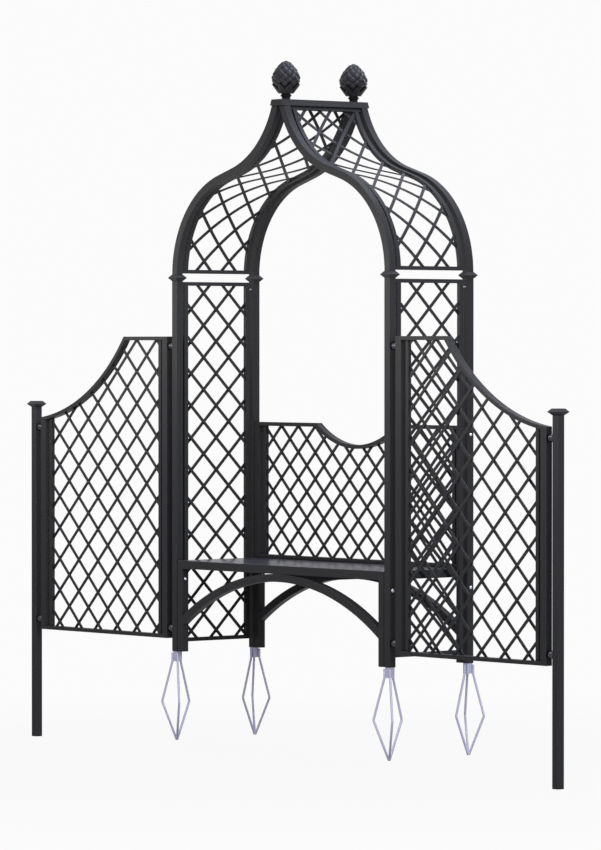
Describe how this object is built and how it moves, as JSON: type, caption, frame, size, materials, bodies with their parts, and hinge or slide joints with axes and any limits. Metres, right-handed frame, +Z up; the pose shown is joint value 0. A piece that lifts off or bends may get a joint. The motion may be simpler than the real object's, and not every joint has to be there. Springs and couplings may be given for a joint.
{
  "type": "rose arch with bench",
  "caption": "Garden rose arch of dark square steel tube with an ogee trellis roof, a bench with lattice back, swept trellis wings and ground anchors.",
  "frame": {"origin": "on the ground, in the middle of the arch posts", "axes": "+X along the wings, +Y from the open front to the backrest, +Z up"},
  "size_m": [4.238, 0.623, 3.58],
  "materials": {
    "frame_coat": "satin anthracite powder coat",
    "seat_coat": "smooth semi-gloss anthracite coat",
    "finial_casting": "cast, coated in satin anthracite",
    "galvanised": "hot-dip galvanised"
  },
  "bodies": {
    "root": {"arch_tube_back_left": "frame_coat", "arch_tube_back_right": "frame_coat", "arch_tube_front_left": "frame_coat", "arch_tube_front_right": "frame_coat", "backrest_bottom_rail": "frame_coat", "backrest_lattice": "frame_coat", "backrest_stiles": "frame_coat", "backrest_top_rail": "frame_coat", "ball_spacers": "galvanised", "bench_back_brace": "frame_coat", "bench_back_upright_left": "frame_coat", "bench_back_upright_right": "frame_coat", "bench_cross_rails": "frame_coat", "bench_front_brace": "frame_coat", "bench_front_leg_left": "frame_coat", "bench_front_leg_right": "frame_coat", "bench_long_rails": "frame_coat", "end_post_caps": "frame_coat", "end_post_left": "frame_coat", "end_post_right": "frame_coat", "finial_back": "finial_casting", "finial_front": "finial_casting", "fixing_bolts": "galvanised", "ground_anchor_back_left": "galvanised", "ground_anchor_back_right": "galvanised", "ground_anchor_front_left": "galvanised", "ground_anchor_front_right": "galvanised", "joint_sleeves": "galvanised", "post_back_left": "frame_coat", "post_back_right": "frame_coat", "post_collars": "frame_coat", "post_front_left": "frame_coat", "post_front_right": "frame_coat", "ridge_cap": "frame_coat", "roof_lattice_left": "frame_coat", "roof_lattice_right": "frame_coat", "roof_rails_left": "frame_coat", "roof_rails_right": "frame_coat", "roof_stiles_left": "frame_coat", "roof_stiles_right": "frame_coat", "seat_plate": "seat_coat", "side_lattice_left": "frame_coat", "side_lattice_right": "frame_coat", "side_rails_left": "frame_coat", "side_rails_right": "frame_coat", "side_stiles_left": "frame_coat", "side_stiles_right": "frame_coat", "spacer_studs": "galvanised", "wing_bottom_rail_left": "frame_coat", "wing_bottom_rail_right": "frame_coat", "wing_inner_upright_left": "frame_coat", "wing_inner_upright_right": "frame_coat", "wing_lattice_left": "frame_coat", "wing_lattice_right": "frame_coat", "wing_outer_upright_left": "frame_coat", "wing_outer_upright_right": "frame_coat", "wing_stiles_left": "frame_coat", "wing_stiles_right": "frame_coat", "wing_top_rail_left": "frame_coat", "wing_top_rail_right": "frame_coat"}
  },
  "joints": []
}
